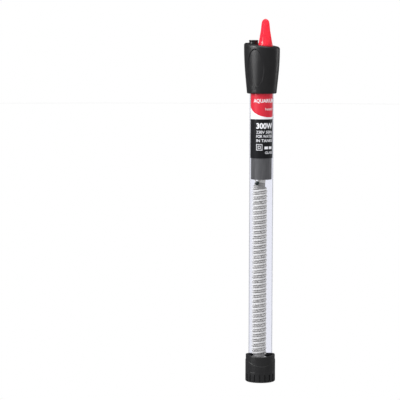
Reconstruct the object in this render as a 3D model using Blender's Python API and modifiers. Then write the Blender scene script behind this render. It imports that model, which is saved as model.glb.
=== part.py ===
"""A submersible aquarium heater, modelled piece by piece.

Metres, +Z up. The origin is the middle of the base cap's underside, and the tube's axis is Z.
X is the long axis of the oval head: the knob is on its +X side and the cord gland on its -X side.
The sizes below are in millimetres, and the functions that make shapes turn them into metres.
"""

import math

import bmesh
import bpy
from mathutils import Matrix, Vector

MM = 0.001
GAP = 0.3                       # clearance between neighbouring solids
SEGMENTS = 40                   # sides of a turned shape
FINE_SEGMENTS = 20              # sides of a small turned shape

# Glass tube
GLASS_R = 11.0
GLASS_WALL = 0.75
GLASS_BOTTOM = 5.0
GLASS_SHOULDER = 12.0           # where the round end begins
GLASS_TOP = 290.0
GLASS_INNER_R = GLASS_R - GLASS_WALL

# Head cap
HEAD_BOTTOM = 262.5
HEAD_TOP = 306.3                # height of the sloping top at the tube's axis
HEAD_SLOPE = 0.125              # fall of the top for each millimetre along +X
HEAD_ROUND_R = 13.35            # radius of the round lower end
HEAD_HALF_X = 16.4              # half of the oval's length
HEAD_HALF_Y = 13.75             # half of the oval's width
HEAD_EDGE = 0.8
HEAD_SHOULDER = 2.0
HEAD_FLARE = 40.0               # height over which the round end widens to the oval
HEAD_POWER = 2.2                # how square the oval is: 2 is an ellipse
HEAD_BORE_R = GLASS_R + 0.35
HEAD_BORE_TOP = 293.0
CHAMBER_TOP = 298.0             # wiring space above the tube
RECESS_HALF_X = 8.5
RECESS_HALF_Z = 18.0
RECESS_Z = 285.0
RECESS_DEPTH = 0.8

# Knob, spindle and screw, on one vertical axis
KNOB_X = 3.5
KNOB_R = 6.5
KNOB_SEAT = 303.5               # floor of the round pocket under the knob
KNOB_TIP = 329.6
SPINDLE_R = 1.5
SPINDLE_TOP = 311.7
SPINDLE_BOTTOM = 276.3
SCREW_R = 1.25
SCREW_BOTTOM = 246.0

# Cord gland
GLAND_X = -8.5
GLAND_R = 4.2
GLAND_BORE_R = 3.1
GLAND_TOP = 310.5

# Label and carrier tube
LABEL_R = GLASS_INNER_R - GAP
LABEL_WALL = 0.25
LABEL_BOTTOM = 204.3
CARRIER_R = LABEL_R - LABEL_WALL - GAP
CARRIER_WALL = 0.8
CARRIER_BOTTOM = 184.9
CARRIER_TOP = 281.5
CARRIER_INNER_R = CARRIER_R - CARRIER_WALL
PLUG_HEIGHT = 3.8
PLUG_NECK_R = 3.6
PLUG_NECK_XY = (0.4, -0.2)
SHIELD_HEIGHT = 0.6

# Heating element, which stands a little off the tube's axis
CORE_X = -1.3
CORE_Y = -0.3
CORE_R = 4.9
CORE_BORE_R = 1.2
CORE_BOTTOM = 22.5
CORE_TOP = 181.4
COIL_R = 6.2                    # radius of the helix
COIL_THICK_R = 0.95             # radius of the wound wire's outline
COIL_START = 25.5
COIL_END = 178.0
COIL_TURNS = 34
END_COLLAR_R = 6.8
END_COLLAR_BOTTOM = 18.9
CUSHION_R = 8.0
CUSHION_BOTTOM = 9.2
CUSHION_TOP = 18.6

# Thermostat
FRAME_HALF_X = 5.9
FRAME_FRONT_Y = 1.5
FRAME_BACK_Y = 3.1
FRAME_BOTTOM = 200.0
FRAME_TOP = 276.0
BRIDGE_FRONT_Y = -3.5
BRIDGE_HEIGHT = 3.0
STRIP_X = -3.0
STRIP_Y = -1.0
STRIP_FOOT = 200.3              # height of the line that the strip swings about
STRIP_LENGTH = 52.0
STRIP_HALF_WIDTH = 2.5
STRIP_HALF_THICK = 0.2
CONTACT_R = 1.5
CONTACT_THICK = 0.7
CONTACT_RISE = 46.0             # height of the contacts above the strip's foot
PUSHER_LOW = (1.3, -2.2, 255.0)
PUSHER_HIGH = (5.7, 1.1, 263.0)
LAMP_XY = (4.6, -3.6)
LAMP_R = 2.2
LAMP_BOTTOM = 226.0
LAMP_TOP = 238.0

# Base cap
BASE_R = 13.6
BASE_COLLAR_R = 13.3
BASE_RIM = 24.2                 # middle height of the wavy rim
BASE_RIM_WAVE = 0.7             # how far the rim dips and rises, twice in a turn
BASE_EDGE = 0.7
BASE_LEDGE = 17.7               # middle height of the wavy ledge
BASE_WAVE = 2.6                 # how far the ledge dips and rises, in step with the rim
BASE_DIP_BEARING = 33.0         # degrees from -Y towards +X to the middle of one dip
BASE_SLOTS = 18
SLOT_WIDTH = 1.4
SLOT_DEPTH = 0.9
SLOT_HEIGHT = 7.5
SLOT_BEARING = 16.0             # degrees from +X to the middle of the first slot

# Leads
LEAD_R = 0.5
LIVE_LEAD_XY = (-6.8, -3.2)
RETURN_LEAD_XY = (-4.0, 5.5)
SWITCHED_LEAD_XY = (-2.9, -6.3)
BEAD_CENTRE = (-0.1, -7.5, 181.6)
BEAD_R = 1.85


# ---------------------------------------------------------------- scene

def clear_scene():
    for item in list(bpy.data.objects):
        bpy.data.objects.remove(item, do_unlink=True)


def new_collection(name):
    collection = bpy.data.collections.new(name)
    bpy.context.scene.collection.children.link(collection)
    return collection


clear_scene()
PARTS = new_collection("aquarium_heater")
CUTTERS = new_collection("cutters")


# ---------------------------------------------------------------- materials

def principled(name, colour, roughness, metallic=0.0, transmission=0.0):
    material = bpy.data.materials.new(name)
    material.use_nodes = True
    shader = material.node_tree.nodes["Principled BSDF"]
    shader.inputs["Base Color"].default_value = (*colour, 1.0)
    shader.inputs["Roughness"].default_value = roughness
    shader.inputs["Metallic"].default_value = metallic
    shader.inputs["Transmission Weight"].default_value = transmission
    material.diffuse_color = (*colour, 1.0)
    return material


def head_black():
    return principled("head_black", (0.022, 0.022, 0.024), 0.38)


def base_black():
    return principled("base_black", (0.028, 0.028, 0.030), 0.45)


def knob_red():
    return principled("knob_red", (0.80, 0.015, 0.03), 0.28)


def clear_glass():
    return principled("clear_glass", (0.93, 0.94, 0.97), 0.03, transmission=1.0)


def printed_label():
    return principled("printed_label", (0.55, 0.03, 0.04), 0.35)


def carrier_grey():
    return principled("carrier_grey", (0.16, 0.16, 0.16), 0.55)


def board_brown():
    return principled("board_brown", (0.42, 0.30, 0.18), 0.6)


def white_ceramic():
    return principled("white_ceramic", (0.72, 0.71, 0.68), 0.6)


def resistance_wire():
    return principled("resistance_wire", (0.42, 0.38, 0.35), 0.45, metallic=0.8)


def spring_brass():
    return principled("spring_brass", (0.70, 0.52, 0.24), 0.35, metallic=1.0)


def plated_steel():
    return principled("plated_steel", (0.55, 0.55, 0.57), 0.3, metallic=1.0)


def black_rubber():
    return principled("black_rubber", (0.03, 0.03, 0.03), 0.75)


def lead_sleeving():
    return principled("lead_sleeving", (0.62, 0.60, 0.55), 0.7)


def dark_bead():
    return principled("dark_bead", (0.02, 0.03, 0.03), 0.3)


def lamp_glass():
    return principled("lamp_glass", (0.75, 0.35, 0.15), 0.1)


def component_blue():
    return principled("component_blue", (0.08, 0.20, 0.42), 0.4)


def mineral_wool():
    return principled("mineral_wool", (0.70, 0.68, 0.60), 0.95)


# ---------------------------------------------------------------- shapes

def add_object(name, data, material, location=(0.0, 0.0, 0.0)):
    """Link data as one object of the heater. A shape with no material is a cutter."""
    item = bpy.data.objects.new(name, data)
    item.location = [value * MM for value in location]
    if material is None:
        CUTTERS.objects.link(item)
        item.display_type = "WIRE"
        item.hide_render = True
    else:
        PARTS.objects.link(item)
        data.materials.append(material)
    return item


def finish_mesh(builder, name, smooth_angle=35.0):
    mesh = bpy.data.meshes.new(name)
    builder.to_mesh(mesh)
    builder.free()
    mesh.shade_smooth()
    mesh.set_sharp_from_angle(angle=math.radians(smooth_angle))
    return mesh


def turned(name, profile, material, centre=(0.0, 0.0), closed=False, steps=SEGMENTS):
    """Turn a profile of (radius, height) about a vertical axis at centre.

    The profile runs down its outer side. It is closed into a loop for a tube, and otherwise
    starts and ends on the axis.
    """
    mesh = bpy.data.meshes.new(name)
    points = [(radius * MM, 0.0, height * MM) for radius, height in profile]
    edges = [(i, i + 1) for i in range(len(points) - 1)]
    if closed:
        edges.append((len(points) - 1, 0))
    mesh.from_pydata(points, edges, [])
    item = add_object(name, mesh, material, (centre[0], centre[1], 0.0))
    screw = item.modifiers.new("turn", "SCREW")
    screw.axis = "Z"
    screw.steps = steps
    screw.render_steps = steps
    screw.use_merge_vertices = True
    screw.merge_threshold = 0.00001
    screw.use_smooth_shade = True
    return item


def rod(name, radius, low, high, material, centre=(0.0, 0.0), steps=FINE_SEGMENTS):
    profile = [(0.0, high), (radius, high), (radius, low), (0.0, low)]
    return turned(name, profile, material, centre, steps=steps)


def tube(name, outer, inner, low, high, material, centre=(0.0, 0.0), steps=SEGMENTS):
    profile = [(outer, high), (outer, low), (inner, low), (inner, high)]
    return turned(name, profile, material, centre, closed=True, steps=steps)


def block(name, low, high, material):
    """A box between two corners, placed by its middle."""
    builder = bmesh.new()
    bmesh.ops.create_cube(builder, size=1.0)
    size = [(high[i] - low[i]) * MM for i in range(3)]
    bmesh.ops.scale(builder, vec=size, verts=builder.verts)
    middle = [(high[i] + low[i]) / 2 for i in range(3)]
    return add_object(name, finish_mesh(builder, name), material, middle)


def loft(name, rings, material, location=(0.0, 0.0, 0.0), hollow=False):
    """Skin a stack of rings that go round anticlockwise, from the bottom ring to the top one.

    A solid loft gets a flat cap at each end, and a hollow one joins its last ring to its first.
    """
    builder = bmesh.new()
    loops = [[builder.verts.new([value * MM for value in point]) for point in ring] for ring in rings]
    count = len(loops[0])
    pairs = list(zip(loops, loops[1:]))
    if hollow:
        pairs.append((loops[-1], loops[0]))
    for lower, upper in pairs:
        for i in range(count):
            j = (i + 1) % count
            builder.faces.new((lower[i], lower[j], upper[j], upper[i]))
    if not hollow:
        builder.faces.new(list(reversed(loops[0])))
        builder.faces.new(loops[-1])
    return add_object(name, finish_mesh(builder, name), material, location)


def prism(name, outline, low_x, high_x, material):
    """Push a flat (y, z) outline along X."""
    builder = bmesh.new()
    corners = [builder.verts.new((low_x * MM, y * MM, z * MM)) for y, z in outline]
    face = builder.faces.new(corners)
    pushed = bmesh.ops.extrude_face_region(builder, geom=[face])
    moved = [part for part in pushed["geom"] if isinstance(part, bmesh.types.BMVert)]
    bmesh.ops.translate(builder, vec=((high_x - low_x) * MM, 0.0, 0.0), verts=moved)
    bmesh.ops.recalc_face_normals(builder, faces=builder.faces)
    return add_object(name, finish_mesh(builder, name), material)


def cut(target, cutter):
    boolean = target.modifiers.new(cutter.name, "BOOLEAN")
    boolean.operation = "DIFFERENCE"
    boolean.solver = "EXACT"
    boolean.object = cutter


def drill(target, name, radius, low, high, centre=(0.0, 0.0), steps=FINE_SEGMENTS):
    cut(target, rod(name, radius, low, high, None, centre, steps))


def wire(name, points, radius, material, sides=1):
    """A round wire through points, as a straight-sided curve with closed ends."""
    curve = bpy.data.curves.new(name, "CURVE")
    curve.dimensions = "3D"
    curve.bevel_depth = radius * MM
    curve.bevel_resolution = sides
    curve.use_fill_caps = True
    spline = curve.splines.new("POLY")
    spline.points.add(len(points) - 1)
    for slot, point in zip(spline.points, points):
        slot.co = (point[0] * MM, point[1] * MM, point[2] * MM, 1.0)
    return add_object(name, curve, material)


def smooth_route(corners, steps=4):
    """Points along a Catmull-Rom curve through the corners of a lead's route."""
    ends = [corners[0]] + list(corners) + [corners[-1]]
    knots = [Vector(point) for point in ends]
    route = []
    for before, start, finish, after in zip(knots, knots[1:], knots[2:], knots[3:]):
        for step in range(steps):
            t = step / steps
            straight = 2 * start + (finish - before) * t
            bend = (2 * before - 5 * start + 4 * finish - after) * t * t
            twist = (3 * start - before - 3 * finish + after) * t * t * t
            route.append((straight + bend + twist) / 2)
    route.append(knots[-2])
    return route


def smoothstep(low, high, value):
    t = min(max((value - low) / (high - low), 0.0), 1.0)
    return t * t * (3 - 2 * t)


def oval_ring(half_x, half_y, height, slope=0.0, count=48, power=2.0):
    """A ring of points on a superellipse. Its height falls by slope along +X."""
    ring = []
    for i in range(count):
        angle = 2 * math.pi * i / count
        c = math.cos(angle)
        s = math.sin(angle)
        x = half_x * math.copysign(abs(c) ** (2 / power), c)
        y = half_y * math.copysign(abs(s) ** (2 / power), s)
        ring.append((x, y, height - slope * x))
    return ring


# ---------------------------------------------------------------- head

def head_half_sizes(rise):
    """Half the head's length and width at a height above its bottom."""
    share = math.sin(math.pi / 2 * min(rise / HEAD_FLARE, 1.0))
    half_x = HEAD_ROUND_R + (HEAD_HALF_X - HEAD_ROUND_R) * share
    half_y = HEAD_ROUND_R + (HEAD_HALF_Y - HEAD_ROUND_R) * share
    return half_x, half_y


def head_rings(inset):
    """Rings of the head's outside, moved in by inset. The top rings lean with the sloping top."""
    height = HEAD_TOP - HEAD_BOTTOM
    rings = []
    for turn in (0.0, 1.0):
        back = HEAD_EDGE * (1 - math.sin(turn * math.pi / 2)) + inset
        rise = HEAD_EDGE * (1 - math.cos(turn * math.pi / 2))
        rings.append(oval_ring(HEAD_ROUND_R - back, HEAD_ROUND_R - back, HEAD_BOTTOM + rise))
    for rise in (6.0, 12.0, 18.0, 24.0, 30.0, 36.0):
        lean = HEAD_SLOPE * rise / height
        power = 2.0 + (HEAD_POWER - 2.0) * smoothstep(0.0, HEAD_FLARE, rise)
        half_x, half_y = head_half_sizes(rise)
        rings.append(oval_ring(half_x - inset, half_y - inset, HEAD_BOTTOM + rise, lean, power=power))
    for turn in (0.0, 0.33, 0.67, 1.0):
        back = HEAD_SHOULDER * (1 - math.cos(turn * math.pi / 2)) + inset
        drop = HEAD_SHOULDER * (1 - math.sin(turn * math.pi / 2))
        half_x = HEAD_HALF_X - back
        half_y = HEAD_HALF_Y - back
        rings.append(oval_ring(half_x, half_y, HEAD_TOP - drop, HEAD_SLOPE, power=HEAD_POWER))
    return rings


def cut_recess(head, side):
    """Cut the oval recess on one broad side. Its floor follows the head's own curve."""
    label = "front" if side < 0 else "back"
    ring_in = oval_ring(RECESS_HALF_X, RECESS_HALF_Z, 5.0, count=36)
    ring_out = oval_ring(RECESS_HALF_X, RECESS_HALF_Z, 20.0, count=36)
    oval = loft("recess_" + label, [ring_in, ring_out], None, (0.0, 0.0, RECESS_Z))
    oval.rotation_euler = (-side * math.pi / 2, 0.0, 0.0)
    core = loft("recess_floor_" + label, head_rings(RECESS_DEPTH), None)
    cut(oval, core)
    cut(head, oval)


def cut_tube_socket(head):
    """Cut the socket for the glass tube, with the seal's wider seat at its mouth."""
    seat_r = HEAD_BORE_R + 0.95
    seat_top = HEAD_BOTTOM + 4.8
    profile = [
        (0.0, HEAD_BORE_TOP),
        (HEAD_BORE_R, HEAD_BORE_TOP),
        (HEAD_BORE_R, seat_top),
        (seat_r, seat_top),
        (seat_r, HEAD_BOTTOM - 4),
        (0.0, HEAD_BOTTOM - 4),
    ]
    cut(head, turned("socket_cutter", profile, None))


def cut_spindle_way(head):
    """Cut the knob's pocket, the spindle's hole and the O-ring's seat, on one axis."""
    hole_r = SPINDLE_R + 0.35
    seat_r = 3.3
    seat_top = CHAMBER_TOP + 2.5
    profile = [
        (0.0, HEAD_TOP + 5),
        (KNOB_R + 0.35, HEAD_TOP + 5),
        (KNOB_R + 0.35, KNOB_SEAT),
        (hole_r, KNOB_SEAT),
        (hole_r, seat_top),
        (seat_r, seat_top),
        (seat_r, CHAMBER_TOP - 1.5),
        (0.0, CHAMBER_TOP - 1.5),
    ]
    cut(head, turned("spindle_way_cutter", profile, None, (KNOB_X, 0.0)))


def make_head_cap():
    head = loft("head_cap", head_rings(0.0), head_black())
    cut_tube_socket(head)
    chamber = [oval_ring(12.5, 10.5, z, count=32) for z in (HEAD_BORE_TOP - 1, CHAMBER_TOP)]
    cut(head, loft("wiring_chamber", chamber, None))
    cut_spindle_way(head)
    gland_axis = (GLAND_X, 0.0)
    drill(head, "gland_hole", GLAND_R + GAP, CHAMBER_TOP - 2, HEAD_TOP + 8, gland_axis, 32)
    for side in (-1, 1):
        cut_recess(head, side)


def make_head_seal_ring():
    outer = HEAD_BORE_R + 0.65
    tube("head_seal_ring", outer, GLASS_R + GAP, HEAD_BOTTOM + 0.5, HEAD_BOTTOM + 4.5, black_rubber())


def make_cord_gland():
    chamfer = 0.6
    profile = [
        (GLAND_BORE_R, GLAND_TOP),
        (GLAND_R - chamfer, GLAND_TOP),
        (GLAND_R, GLAND_TOP - chamfer),
        (GLAND_R, CHAMBER_TOP + GAP),
        (GLAND_BORE_R, CHAMBER_TOP + GAP),
    ]
    turned("cord_gland", profile, black_rubber(), (GLAND_X, 0.0), closed=True, steps=32)


def make_tube_stopper():
    plug_r = GLASS_INNER_R - 0.35
    rim = GLASS_TOP + GAP
    profile = [
        (0.0, rim + 2.4),
        (GLASS_R, rim + 2.4),
        (GLASS_R, rim),
        (plug_r, rim),
        (plug_r, CARRIER_TOP + 0.5),
        (0.0, CARRIER_TOP + 0.5),
    ]
    stopper = turned("tube_stopper", profile, black_rubber())
    low = CARRIER_TOP - 1
    high = rim + 5
    drill(stopper, "stopper_spindle_hole", SPINDLE_R + 0.4, low, high, (KNOB_X, 0.0))
    drill(stopper, "stopper_live_hole", LEAD_R + 0.35, low, high, LIVE_LEAD_XY)
    drill(stopper, "stopper_return_hole", LEAD_R + 0.35, low, high, RETURN_LEAD_XY)


# ---------------------------------------------------------------- knob and adjuster

def make_knob_axis():
    """The empty that carries everything that turns with the knob."""
    axis = bpy.data.objects.new("knob_axis", None)
    axis.location = (KNOB_X * MM, 0.0, 0.0)
    PARTS.objects.link(axis)
    return axis


def hang_on(parent, item):
    """Parent item to an empty, keeping the place it was made in."""
    place = item.location - parent.location
    item.parent = parent
    item.location = place


def make_adjusting_knob(axis):
    """A round skirt that rises into a pointed grip, whose section is a rounded rhombus."""
    skirt_bottom = KNOB_SEAT + GAP
    sections = [
        (skirt_bottom, KNOB_R, KNOB_R, 2.0),
        (skirt_bottom + 2.4, KNOB_R, KNOB_R, 2.0),
        (skirt_bottom + 4.2, 6.4, 5.9, 1.8),
        (skirt_bottom + 7.2, 6.2, 5.0, 1.5),
        (skirt_bottom + 11.6, 5.5, 4.1, 1.4),
        (skirt_bottom + 15.2, 4.8, 3.4, 1.35),
        (skirt_bottom + 21.2, 4.1, 2.5, 1.35),
        (KNOB_TIP - 2.0, 3.4, 2.0, 1.4),
        (KNOB_TIP - 0.6, 2.0, 1.3, 1.6),
        (KNOB_TIP, 0.9, 0.6, 2.0),
    ]
    rings = []
    for height, half_x, half_y, power in sections:
        rings.append(oval_ring(half_x, half_y, height, count=40, power=power))
    knob = loft("adjusting_knob", rings, knob_red(), (KNOB_X, 0.0, 0.0))
    drill(knob, "knob_bore", SPINDLE_R + GAP, KNOB_SEAT - 2, SPINDLE_TOP + GAP, (KNOB_X, 0.0))
    hang_on(axis, knob)


def make_knob_spindle(axis):
    spindle = rod("knob_spindle", SPINDLE_R, SPINDLE_BOTTOM, SPINDLE_TOP, plated_steel(), (KNOB_X, 0.0))
    hang_on(axis, spindle)


def make_adjusting_screw(axis):
    top = SPINDLE_BOTTOM - GAP
    screw = rod("adjusting_screw", SCREW_R, SCREW_BOTTOM, top, spring_brass(), (KNOB_X, 0.0))
    hang_on(axis, screw)


def make_spindle_o_ring(axis):
    middle = SPINDLE_R + 0.9
    height = CHAMBER_TOP + 1.2
    radius = 0.55
    circle = []
    for i in range(10):
        angle = -2 * math.pi * i / 10
        circle.append((middle + radius * math.cos(angle), height + radius * math.sin(angle)))
    ring = turned("spindle_o_ring", circle, black_rubber(), (KNOB_X, 0.0), closed=True, steps=24)
    hang_on(axis, ring)


def make_adjuster_pusher():
    pusher = block("adjuster_pusher", PUSHER_LOW, PUSHER_HIGH, board_brown())
    low = PUSHER_LOW[2] - 2
    high = PUSHER_HIGH[2] + 2
    drill(pusher, "pusher_hole", SCREW_R + 0.35, low, high, (KNOB_X, 0.0))


# ---------------------------------------------------------------- glass and its sleeves

def round_end(radius, low, shoulder, count=7):
    """Points down a quarter ellipse, from the tube's wall to its axis."""
    points = []
    for i in range(count + 1):
        angle = (math.pi / 2) * i / count
        points.append((radius * math.cos(angle), shoulder - (shoulder - low) * math.sin(angle)))
    points[-1] = (0.0, low)
    return points


def make_glass_tube():
    outside = round_end(GLASS_R, GLASS_BOTTOM, GLASS_SHOULDER)
    inside = round_end(GLASS_INNER_R, GLASS_BOTTOM + GLASS_WALL, GLASS_SHOULDER)
    profile = list(reversed(inside)) + [(GLASS_INNER_R, GLASS_TOP), (GLASS_R, GLASS_TOP)] + outside
    turned("glass_tube", profile, clear_glass())


def make_label_sleeve():
    tube("label_sleeve", LABEL_R, LABEL_R - LABEL_WALL, LABEL_BOTTOM, CARRIER_TOP, printed_label())


def make_thermostat_carrier():
    tube("thermostat_carrier", CARRIER_R, CARRIER_INNER_R, CARRIER_BOTTOM, CARRIER_TOP, carrier_grey())


def make_carrier_end_plug():
    """The plug in the carrier's lower end, with the neck that meets the ceramic former."""
    neck_top = CARRIER_BOTTOM + GAP
    plug_top = neck_top + PLUG_HEIGHT
    plug_r = CARRIER_INNER_R - GAP
    plug = rod("carrier_end_plug", plug_r, neck_top, plug_top, black_rubber(), steps=SEGMENTS)
    neck = rod("plug_neck", PLUG_NECK_R, CORE_TOP + GAP, neck_top + 1, None, PLUG_NECK_XY)
    join = plug.modifiers.new("neck", "BOOLEAN")
    join.operation = "UNION"
    join.solver = "EXACT"
    join.object = neck
    drill(plug, "plug_return_hole", CORE_BORE_R, CORE_TOP - 2, plug_top + 2, (CORE_X, CORE_Y))
    drill(plug, "plug_switched_hole", LEAD_R + 0.35, CORE_TOP - 2, plug_top + 2, SWITCHED_LEAD_XY)


def make_heat_shield_disc():
    low = CARRIER_BOTTOM + GAP + PLUG_HEIGHT + GAP
    high = low + SHIELD_HEIGHT
    disc = rod("heat_shield_disc", CARRIER_INNER_R - GAP, low, high, white_ceramic(), steps=SEGMENTS)
    drill(disc, "shield_return_hole", CORE_BORE_R, low - 2, low + 2, (CORE_X, CORE_Y))
    drill(disc, "shield_switched_hole", LEAD_R + 0.35, low - 2, low + 2, SWITCHED_LEAD_XY)


# ---------------------------------------------------------------- thermostat

def make_thermostat_frame():
    """A board with a bridge across its top, which guides the adjusting screw."""
    outline = [
        (FRAME_FRONT_Y, FRAME_BOTTOM),
        (FRAME_BACK_Y, FRAME_BOTTOM),
        (FRAME_BACK_Y, FRAME_TOP),
        (BRIDGE_FRONT_Y, FRAME_TOP),
        (BRIDGE_FRONT_Y, FRAME_TOP - BRIDGE_HEIGHT),
        (FRAME_FRONT_Y, FRAME_TOP - BRIDGE_HEIGHT),
    ]
    frame = prism("thermostat_frame", outline, -FRAME_HALF_X, FRAME_HALF_X, board_brown())
    drill(frame, "bridge_hole", SPINDLE_R + 0.4, FRAME_TOP - 6, FRAME_TOP + 2, (KNOB_X, 0.0))


def make_bimetal_bracket():
    low = (STRIP_X - STRIP_HALF_WIDTH, STRIP_Y - 1.0, STRIP_FOOT - 5.0)
    high = (STRIP_X + STRIP_HALF_WIDTH, FRAME_FRONT_Y - GAP, STRIP_FOOT - GAP)
    block("bimetal_bracket", low, high, spring_brass())


def make_bimetal_strip():
    """The strip hangs on an empty at the line that it swings about, with its contact."""
    foot = bpy.data.objects.new("bimetal_axis", None)
    foot.location = (STRIP_X * MM, STRIP_Y * MM, STRIP_FOOT * MM)
    PARTS.objects.link(foot)
    low = (STRIP_X - STRIP_HALF_WIDTH, STRIP_Y - STRIP_HALF_THICK, STRIP_FOOT + 0.1)
    high = (STRIP_X + STRIP_HALF_WIDTH, STRIP_Y + STRIP_HALF_THICK, STRIP_FOOT + STRIP_LENGTH)
    hang_on(foot, block("bimetal_strip", low, high, plated_steel()))
    contact = contact_button("moving_contact", STRIP_Y + STRIP_HALF_THICK + GAP)
    hang_on(foot, contact)


def contact_button(name, near_y):
    """A round silver button with its flat face towards the other contact."""
    half = CONTACT_THICK / 2
    button = rod(name, CONTACT_R, -half, half, plated_steel(), steps=20)
    button.rotation_euler = (math.pi / 2, 0.0, 0.0)
    button.location = (STRIP_X * MM, (near_y + half) * MM, (STRIP_FOOT + CONTACT_RISE) * MM)
    return button


def make_fixed_contact():
    contact_button("fixed_contact", STRIP_Y + STRIP_HALF_THICK + GAP + CONTACT_THICK + GAP)


def make_snap_magnet():
    low = (STRIP_X - 2.0, STRIP_Y + STRIP_HALF_THICK + 0.4, STRIP_FOOT + 48.2)
    high = (STRIP_X + 2.0, FRAME_FRONT_Y - GAP, STRIP_FOOT + STRIP_LENGTH)
    block("snap_magnet", low, high, plated_steel())


def make_pilot_lamp():
    """A neon lamp: a small bulb with a round tip."""
    shoulder = LAMP_TOP - LAMP_R
    tip = []
    for i in range(6):
        angle = (math.pi / 2) * (1 - i / 5)
        tip.append((LAMP_R * math.cos(angle), shoulder + LAMP_R * math.sin(angle)))
    tip[0] = (0.0, LAMP_TOP)
    profile = tip + [(LAMP_R, LAMP_BOTTOM), (0.0, LAMP_BOTTOM)]
    turned("pilot_lamp", profile, lamp_glass(), LAMP_XY, steps=20)


def make_lamp_resistor():
    rod("lamp_resistor", 1.1, 214.0, 223.0, component_blue(), (2.0, 4.6), steps=16)


def make_suppression_capacitor():
    block("suppression_capacitor", (-2.5, 3.4, 232.0), (4.5, 6.4, 246.0), component_blue())


# ---------------------------------------------------------------- leads

def make_live_lead():
    x, y = LIVE_LEAD_XY
    straight = [(x, y, z) for z in (296.0, 260.0, 230.0, 206.0)]
    wire("live_lead", smooth_route(straight + [(x + 0.3, y + 1.4, 200.5), (x + 0.4, y + 2.4, 197.5)]),
         LEAD_R, lead_sleeving())


def make_return_lead():
    x, y = RETURN_LEAD_XY
    above = [(x, y, z) for z in (296.0, 260.0, 230.0, 204.0)]
    turn = [(x + 0.1, y - 0.4, 199.5), (-2.7, 2.4, 195.3), (CORE_X, CORE_Y + 0.1, 191.0)]
    below = [(CORE_X, CORE_Y, z) for z in (187.0, 130.0, 70.0, 19.5)]
    wire("return_lead", smooth_route(above + turn + below), LEAD_R, lead_sleeving())


def make_switched_lead():
    x, y = SWITCHED_LEAD_XY
    bead = Vector(BEAD_CENTRE)
    last = bead + (Vector((x, y, 183.4)) - bead).normalized() * (BEAD_R + GAP)
    upper = [(1.2, 0.7, 243.5), (2.2, 0.4, 236.0), (2.6, -0.9, 224.0), (2.2, -3.2, 213.0)]
    lower = [(-0.6, -5.6, 204.0), (x, y, 196.0), (x, y, 189.0), (x, y, 185.0)]
    wire("switched_lead", smooth_route(upper + lower + [tuple(last)]), LEAD_R, lead_sleeving())


def make_terminal_bead():
    builder = bmesh.new()
    bmesh.ops.create_uvsphere(builder, u_segments=16, v_segments=10, radius=BEAD_R * MM)
    add_object("terminal_bead", finish_mesh(builder, "terminal_bead"), dark_bead(), BEAD_CENTRE)


# ---------------------------------------------------------------- heating element

def make_ceramic_former():
    tube("ceramic_former", CORE_R, CORE_BORE_R, CORE_BOTTOM, CORE_TOP, white_ceramic(),
         (CORE_X, CORE_Y), steps=32)


def make_heating_coil():
    """A right-handed helix round the former."""
    per_turn = 10
    count = COIL_TURNS * per_turn
    points = []
    for i in range(count + 1):
        angle = 2 * math.pi * i / per_turn
        height = COIL_START + (COIL_END - COIL_START) * i / count
        points.append((CORE_X + COIL_R * math.cos(angle), CORE_Y + COIL_R * math.sin(angle), height))
    wire("heating_coil", points, COIL_THICK_R, resistance_wire(), sides=0)


def make_former_end_collar():
    tube("former_end_collar", END_COLLAR_R, CORE_BORE_R, END_COLLAR_BOTTOM, CORE_BOTTOM - GAP,
         white_ceramic(), (CORE_X, CORE_Y), steps=32)


def make_bottom_cushion():
    rod("bottom_cushion", CUSHION_R, CUSHION_BOTTOM, CUSHION_TOP, mineral_wool(), steps=32)


# ---------------------------------------------------------------- base

def wavy_ring(radius, middle, wave):
    """A ring that dips by wave on two opposite sides and rises as much between them."""
    ring = []
    for x, y, height in oval_ring(radius, radius, middle, count=72):
        bearing = math.atan2(x, -y) - math.radians(BASE_DIP_BEARING)
        ring.append((x, y, height - wave * math.cos(2 * bearing)))
    return ring


def cut_slots(base):
    """Cut the upright slots round the foot of the cap."""
    builder = bmesh.new()
    size = (SLOT_DEPTH * 2 * MM, SLOT_WIDTH * MM, (SLOT_HEIGHT + 2) * MM)
    for i in range(BASE_SLOTS):
        angle = 2 * math.pi * i / BASE_SLOTS + math.radians(SLOT_BEARING)
        turn = Matrix.Rotation(angle, 4, "Z")
        shift = Matrix.Translation((BASE_R * MM, 0.0, (SLOT_HEIGHT - 2) / 2 * MM))
        scale = Matrix.Diagonal((*size, 1.0))
        bmesh.ops.create_cube(builder, size=1.0, matrix=turn @ shift @ scale)
    cut(base, add_object("slot_cutters", finish_mesh(builder, "slot_cutters"), None))


def make_base_cap():
    """A cup with a wavy ledge and rim. Its rings climb the outside and go down the pocket."""
    pocket_r = GLASS_R + 0.35
    rings = [
        wavy_ring(BASE_R - BASE_EDGE, 0.0, 0.0),
        wavy_ring(BASE_R, BASE_EDGE, 0.0),
        wavy_ring(BASE_R, BASE_LEDGE, BASE_WAVE),
        wavy_ring(BASE_COLLAR_R, BASE_LEDGE, BASE_WAVE),
        wavy_ring(BASE_COLLAR_R, BASE_RIM, BASE_RIM_WAVE),
        wavy_ring(pocket_r, BASE_RIM, BASE_RIM_WAVE),
        wavy_ring(pocket_r, GLASS_BOTTOM - GAP, 0.0),
    ]
    base = loft("base_cap", rings, base_black())
    cut_slots(base)


# ---------------------------------------------------------------- the heater

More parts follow.
